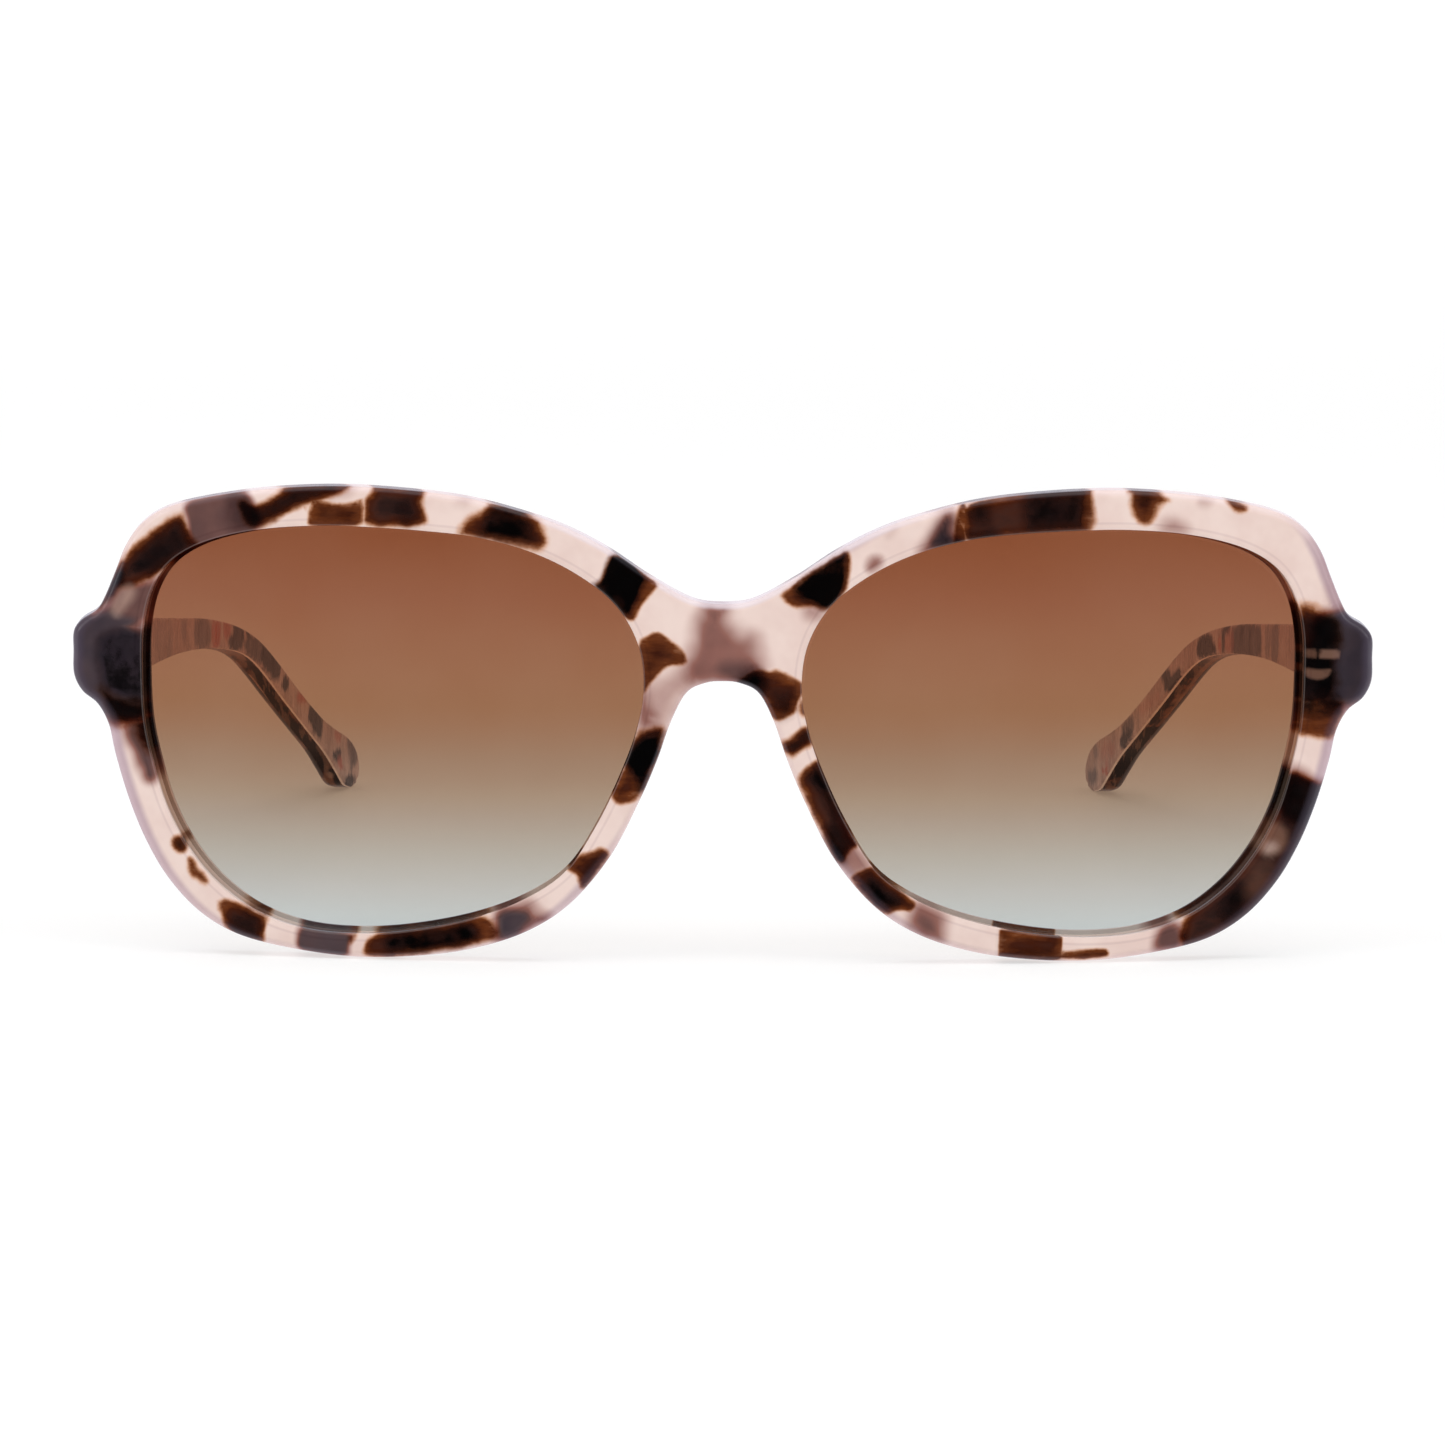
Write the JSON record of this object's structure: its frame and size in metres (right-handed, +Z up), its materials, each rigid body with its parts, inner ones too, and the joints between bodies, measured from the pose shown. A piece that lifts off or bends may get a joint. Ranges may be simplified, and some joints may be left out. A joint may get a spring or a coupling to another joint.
{
  "type": "sunglasses",
  "caption": "Cat eye sunglasses: acetate front with wrapped gradient lenses, nose pads, and laminated temples that fold on barrel hinges.",
  "frame": {"origin": "middle of the footprint of the open glasses, on the table plane under the rims and temple tips", "axes": "+X to the wearer's left, +Y from the front to the temple tips, +Z up"},
  "size_m": [0.145, 0.146, 0.0526],
  "materials": {
    "tortoise_acetate": "polished",
    "dark_tortoise": "polished",
    "light_sheet": "polished",
    "printed_sheet": "satin print under a clear coat",
    "tinted_lens": "clear, gradient tint",
    "hinge_metal": "satin nickel silver",
    "screw_metal": "bright stainless",
    "core_metal": "drawn nickel silver"
  },
  "bodies": {
    "front": {"front_frame": "tortoise_acetate", "lens_left": "tinted_lens", "lens_right": "tinted_lens", "nose_pad_left": "tortoise_acetate", "nose_pad_right": "tortoise_acetate", "front_hinge_left": "hinge_metal", "front_hinge_right": "hinge_metal", "hinge_screws": "screw_metal"},
    "temple_left": {"temple_outer_left": "dark_tortoise", "temple_liner_left": "light_sheet", "temple_print_left": "printed_sheet", "core_wire_left": "core_metal", "temple_hinge_left": "hinge_metal"},
    "temple_right": {"temple_outer_right": "dark_tortoise", "temple_liner_right": "light_sheet", "temple_print_right": "printed_sheet", "core_wire_right": "core_metal", "temple_hinge_right": "hinge_metal"}
  },
  "joints": [
    {"name": "hinge_left", "type": "hinge", "parent": "front", "child": "temple_left", "pos_m": [0.0665, -0.05815, 0.03215], "axis": [0, 0, 1], "range_deg": [0, 82]},
    {"name": "hinge_right", "type": "hinge", "parent": "front", "child": "temple_right", "pos_m": [-0.0665, -0.05815, 0.03215], "axis": [0, 0, -1], "range_deg": [0, 78]}
  ]
}
